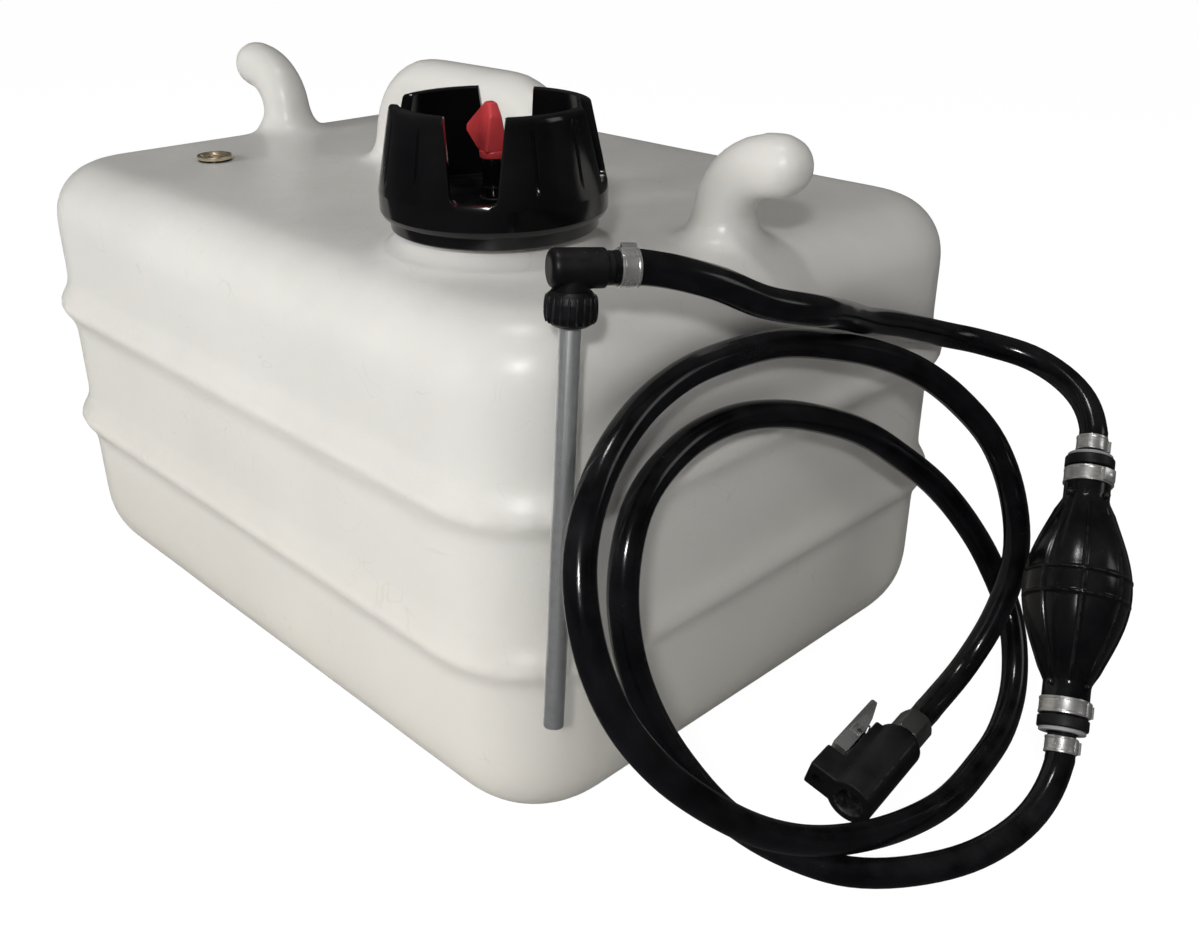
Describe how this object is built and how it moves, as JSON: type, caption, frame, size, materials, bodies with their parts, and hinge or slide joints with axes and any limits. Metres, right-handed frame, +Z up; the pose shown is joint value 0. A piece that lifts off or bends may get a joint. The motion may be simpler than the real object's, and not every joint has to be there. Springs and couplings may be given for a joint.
{
  "type": "outboard fuel tank",
  "caption": "Portable boat fuel tank with handle, tie-down hooks and vented screw cap, with a pickup tube, hose, primer bulb and quick connector.",
  "frame": {"origin": "middle of the tank's underside, on the surface it stands on", "axes": "+X along the tank towards the filler end, +Z up, -Y is the long side nearer the filler"},
  "size_m": [0.5639, 0.3219, 0.296],
  "materials": {
    "tank_plastic": "natural blow-moulded polyethylene, satin, slightly translucent",
    "cap_plastic": "black injection-moulded plastic, glossy",
    "knob_plastic": "red injection-moulded plastic, satin",
    "fitting_plastic": "black glass-filled plastic, satin",
    "ring_plastic": "grey plastic, satin",
    "hose_rubber": "black rubber hose, smooth and slightly shiny",
    "bulb_rubber": "black moulded rubber, shiny",
    "seal_rubber": "black rubber, matt",
    "brass": "turned brass",
    "tube_aluminium": "drawn aluminium tube, satin",
    "clamp_steel": "stainless steel band, rolled finish",
    "nut_steel": "dark plated steel",
    "latch_chrome": "chromed steel sheet"
  },
  "bodies": {
    "tank": {"tank_shell": "tank_plastic", "brass_insert": "brass", "insert_seal": "seal_rubber", "pickup_elbow": "fitting_plastic", "pickup_seal": "seal_rubber", "dip_tube": "tube_aluminium", "elbow_clamp": "clamp_steel", "tank_hose": "hose_rubber", "inlet_hose_clamp": "clamp_steel", "inlet_valve_body": "fitting_plastic", "inlet_valve_ring": "ring_plastic", "inlet_bulb_clamp": "clamp_steel", "primer_bulb": "bulb_rubber", "outlet_bulb_clamp": "clamp_steel", "outlet_valve_body": "fitting_plastic", "outlet_valve_ring": "ring_plastic", "outlet_hose_clamp": "clamp_steel", "engine_hose": "hose_rubber", "connector_nut": "nut_steel", "connector_body": "fitting_plastic", "connector_seal": "seal_rubber", "plunger_spring": "nut_steel", "latch_pin": "nut_steel", "latch_spring": "nut_steel"},
    "gasket": {"cap_gasket": "seal_rubber"},
    "cap": {"filler_cap": "cap_plastic"},
    "vent_washer": {"vent_seal": "seal_rubber"},
    "vent": {"vent_screw": "cap_plastic", "vent_knob": "knob_plastic"},
    "nut": {"pickup_nut": "fitting_plastic"},
    "inlet_disc": {"inlet_valve_disc": "ring_plastic"},
    "outlet_disc": {"outlet_valve_disc": "ring_plastic"},
    "plunger": {"connector_plunger": "nut_steel"},
    "latch": {"connector_latch": "latch_chrome"}
  },
  "joints": [
    {"name": "cap_lift", "type": "slide", "parent": "tank", "child": "gasket", "axis": [0, 0, 1], "range_m": [0, 0.006]},
    {"name": "cap_turn", "type": "hinge", "parent": "gasket", "child": "cap", "pos_m": [0.108, -0.078, 0.25], "axis": [0, 0, 1], "range_deg": [0, 541]},
    {"name": "vent_lift", "type": "slide", "parent": "cap", "child": "vent_washer", "axis": [0, 0, 1], "range_m": [0, 0.00125]},
    {"name": "vent_turn", "type": "hinge", "parent": "vent_washer", "child": "vent", "pos_m": [0.108, -0.078, 0.255], "axis": [0, 0, 1], "range_deg": [0, 451]},
    {"name": "nut_spin", "type": "hinge", "parent": "tank", "child": "nut", "pos_m": [0.2051, -0.1273, 0.2358], "axis": [-0.0524, 0.1177, 0.9917], "continuous": true},
    {"name": "inlet_valve", "type": "slide", "parent": "tank", "child": "inlet_disc", "axis": [0.3202, -0.6022, -0.7314], "range_m": [0, 0.0025]},
    {"name": "outlet_valve", "type": "slide", "parent": "tank", "child": "outlet_disc", "axis": [0.3202, -0.6022, -0.7314], "range_m": [0, 0.0025]},
    {"name": "plunger_press", "type": "slide", "parent": "tank", "child": "plunger", "axis": [-0.0867, 0.9907, 0.1045], "range_m": [0, 0.003], "stiffness_N_per_m": 150, "springref_m": -0.002, "deforming": ["plunger_spring"]},
    {"name": "latch_press", "type": "hinge", "parent": "tank", "child": "latch", "pos_m": [0.25844, -0.00013, 0.0193], "axis": [-0.3, 0.0741, -0.9511], "range_deg": [0, 10], "stiffness_Nm_per_rad": 0.03, "springref_deg": -11.46, "deforming": ["latch_spring"]}
  ],
  "couplings": [
    {"joint": "cap_turn", "follows": "cap_lift", "rad_per_m": 1570.8},
    {"joint": "vent_turn", "follows": "vent_lift", "rad_per_m": 6283.2}
  ]
}
